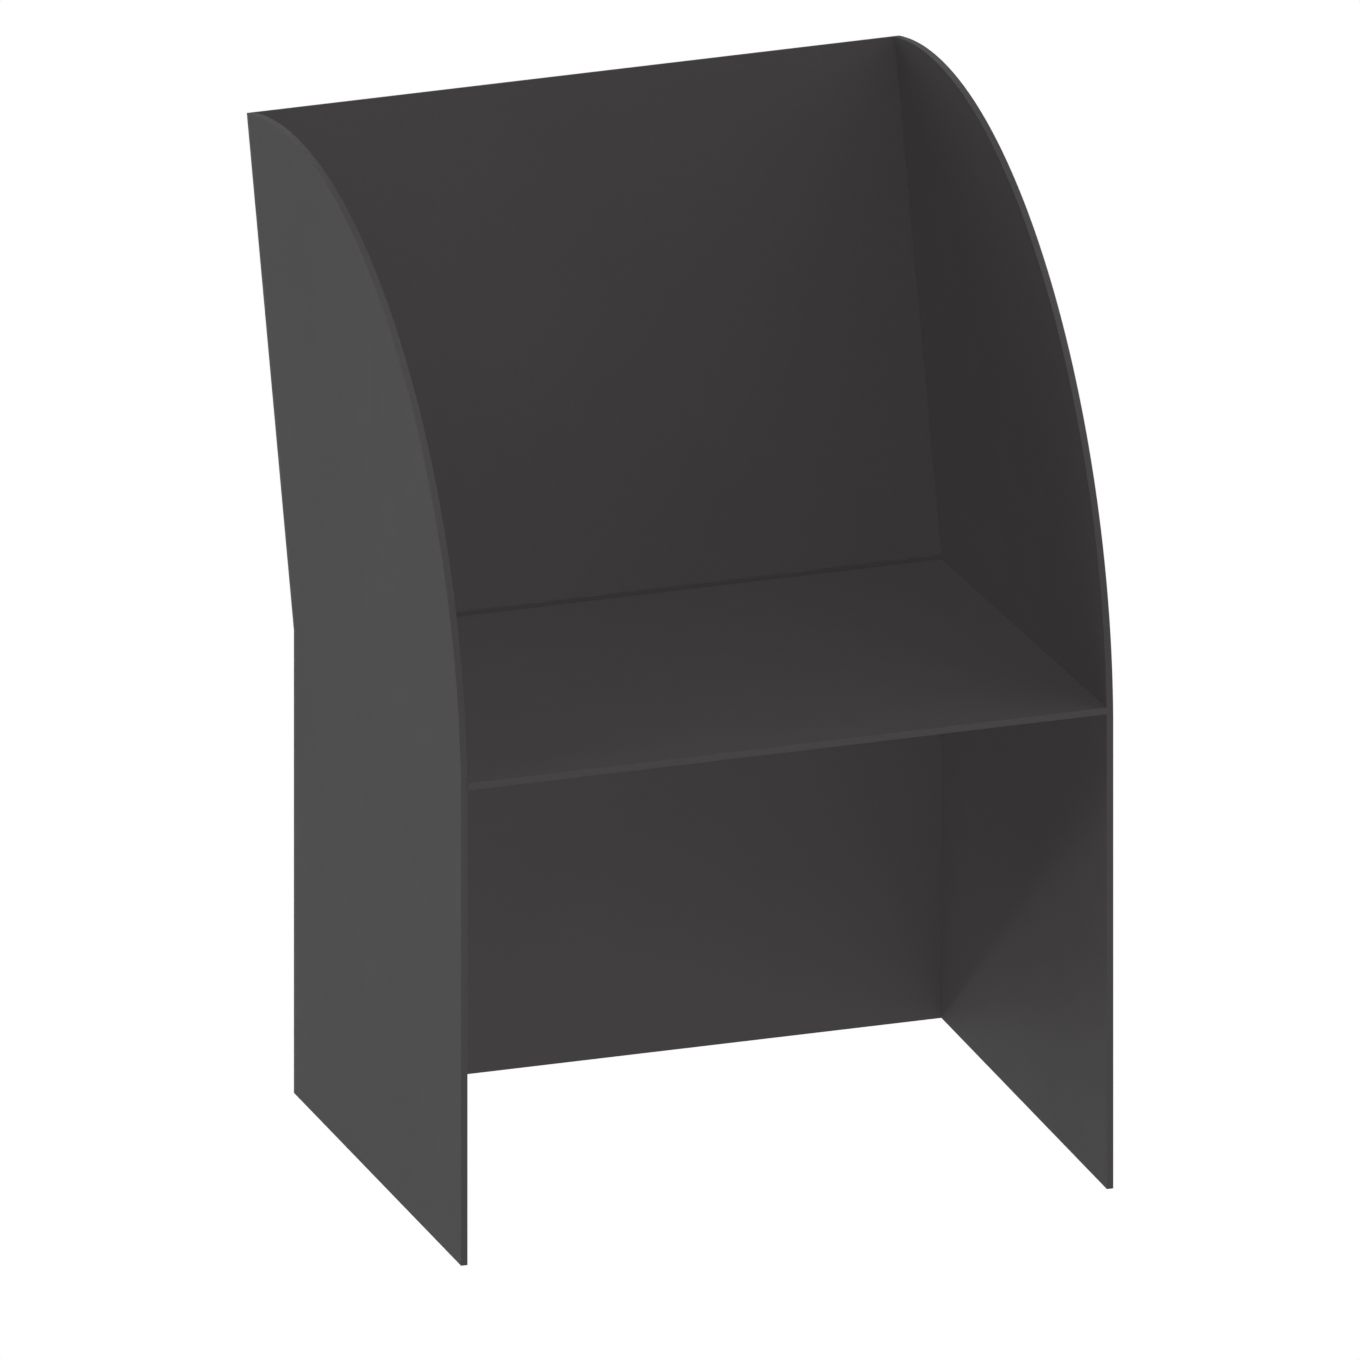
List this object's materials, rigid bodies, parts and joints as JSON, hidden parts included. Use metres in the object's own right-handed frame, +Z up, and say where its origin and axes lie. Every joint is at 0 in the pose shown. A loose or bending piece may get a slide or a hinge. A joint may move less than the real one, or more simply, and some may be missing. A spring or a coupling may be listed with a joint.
{
  "type": "study carrel",
  "caption": "Free-standing study carrel of thin charcoal panels: curved side panels, an upright and a leaning back leaf, and a desk shelf between the sides.",
  "frame": {"origin": "on the floor, in the middle of the overall width and of the overall depth", "axes": "+Z up, the longest extent; +Y from the open front to the back, the shortest extent; +X to the right of the person who sits at it"},
  "size_m": [1, 0.97, 1.4749],
  "materials": {
    "compact_laminate": "matte",
    "coated_steel": "satin",
    "blackened_steel": "satin",
    "nylon": "matte"
  },
  "bodies": {
    "root": {"side_panel_left": "compact_laminate", "side_panel_right": "compact_laminate", "back_panel_lower": "compact_laminate", "back_panel_upper": "compact_laminate", "desk_top": "compact_laminate", "desk_cleat_left": "coated_steel", "desk_cleat_right": "coated_steel", "desk_cleat_rear": "coated_steel", "kink_plate_left": "coated_steel", "kink_plate_centre": "coated_steel", "kink_plate_right": "coated_steel", "back_screw_lower_left_1": "blackened_steel", "back_screw_lower_left_2": "blackened_steel", "back_screw_lower_left_3": "blackened_steel", "back_screw_upper_left_1": "blackened_steel", "back_screw_upper_left_2": "blackened_steel", "back_screw_upper_left_3": "blackened_steel", "back_screw_lower_right_1": "blackened_steel", "back_screw_lower_right_2": "blackened_steel", "back_screw_lower_right_3": "blackened_steel", "back_screw_upper_right_1": "blackened_steel", "back_screw_upper_right_2": "blackened_steel", "back_screw_upper_right_3": "blackened_steel", "desk_cleat_left_wall_screw_1": "blackened_steel", "desk_cleat_left_wall_screw_2": "blackened_steel", "desk_cleat_left_wall_screw_3": "blackened_steel", "desk_cleat_left_desk_screw_1": "blackened_steel", "desk_cleat_left_desk_screw_2": "blackened_steel", "desk_cleat_left_desk_screw_3": "blackened_steel", "desk_cleat_right_wall_screw_1": "blackened_steel", "desk_cleat_right_wall_screw_2": "blackened_steel", "desk_cleat_right_wall_screw_3": "blackened_steel", "desk_cleat_right_desk_screw_1": "blackened_steel", "desk_cleat_right_desk_screw_2": "blackened_steel", "desk_cleat_right_desk_screw_3": "blackened_steel", "desk_cleat_rear_wall_screw_1": "blackened_steel", "desk_cleat_rear_wall_screw_2": "blackened_steel", "desk_cleat_rear_wall_screw_3": "blackened_steel", "desk_cleat_rear_desk_screw_1": "blackened_steel", "desk_cleat_rear_desk_screw_2": "blackened_steel", "desk_cleat_rear_desk_screw_3": "blackened_steel", "kink_plate_left_lower_screw_1": "blackened_steel", "kink_plate_left_lower_screw_2": "blackened_steel", "kink_plate_left_upper_screw_1": "blackened_steel", "kink_plate_left_upper_screw_2": "blackened_steel", "kink_plate_centre_lower_screw_1": "blackened_steel", "kink_plate_centre_lower_screw_2": "blackened_steel", "kink_plate_centre_upper_screw_1": "blackened_steel", "kink_plate_centre_upper_screw_2": "blackened_steel", "kink_plate_right_lower_screw_1": "blackened_steel", "kink_plate_right_lower_screw_2": "blackened_steel", "kink_plate_right_upper_screw_1": "blackened_steel", "kink_plate_right_upper_screw_2": "blackened_steel", "glide_front_left": "nylon", "glide_rear_left": "nylon", "glide_front_right": "nylon", "glide_rear_right": "nylon"}
  },
  "joints": []
}
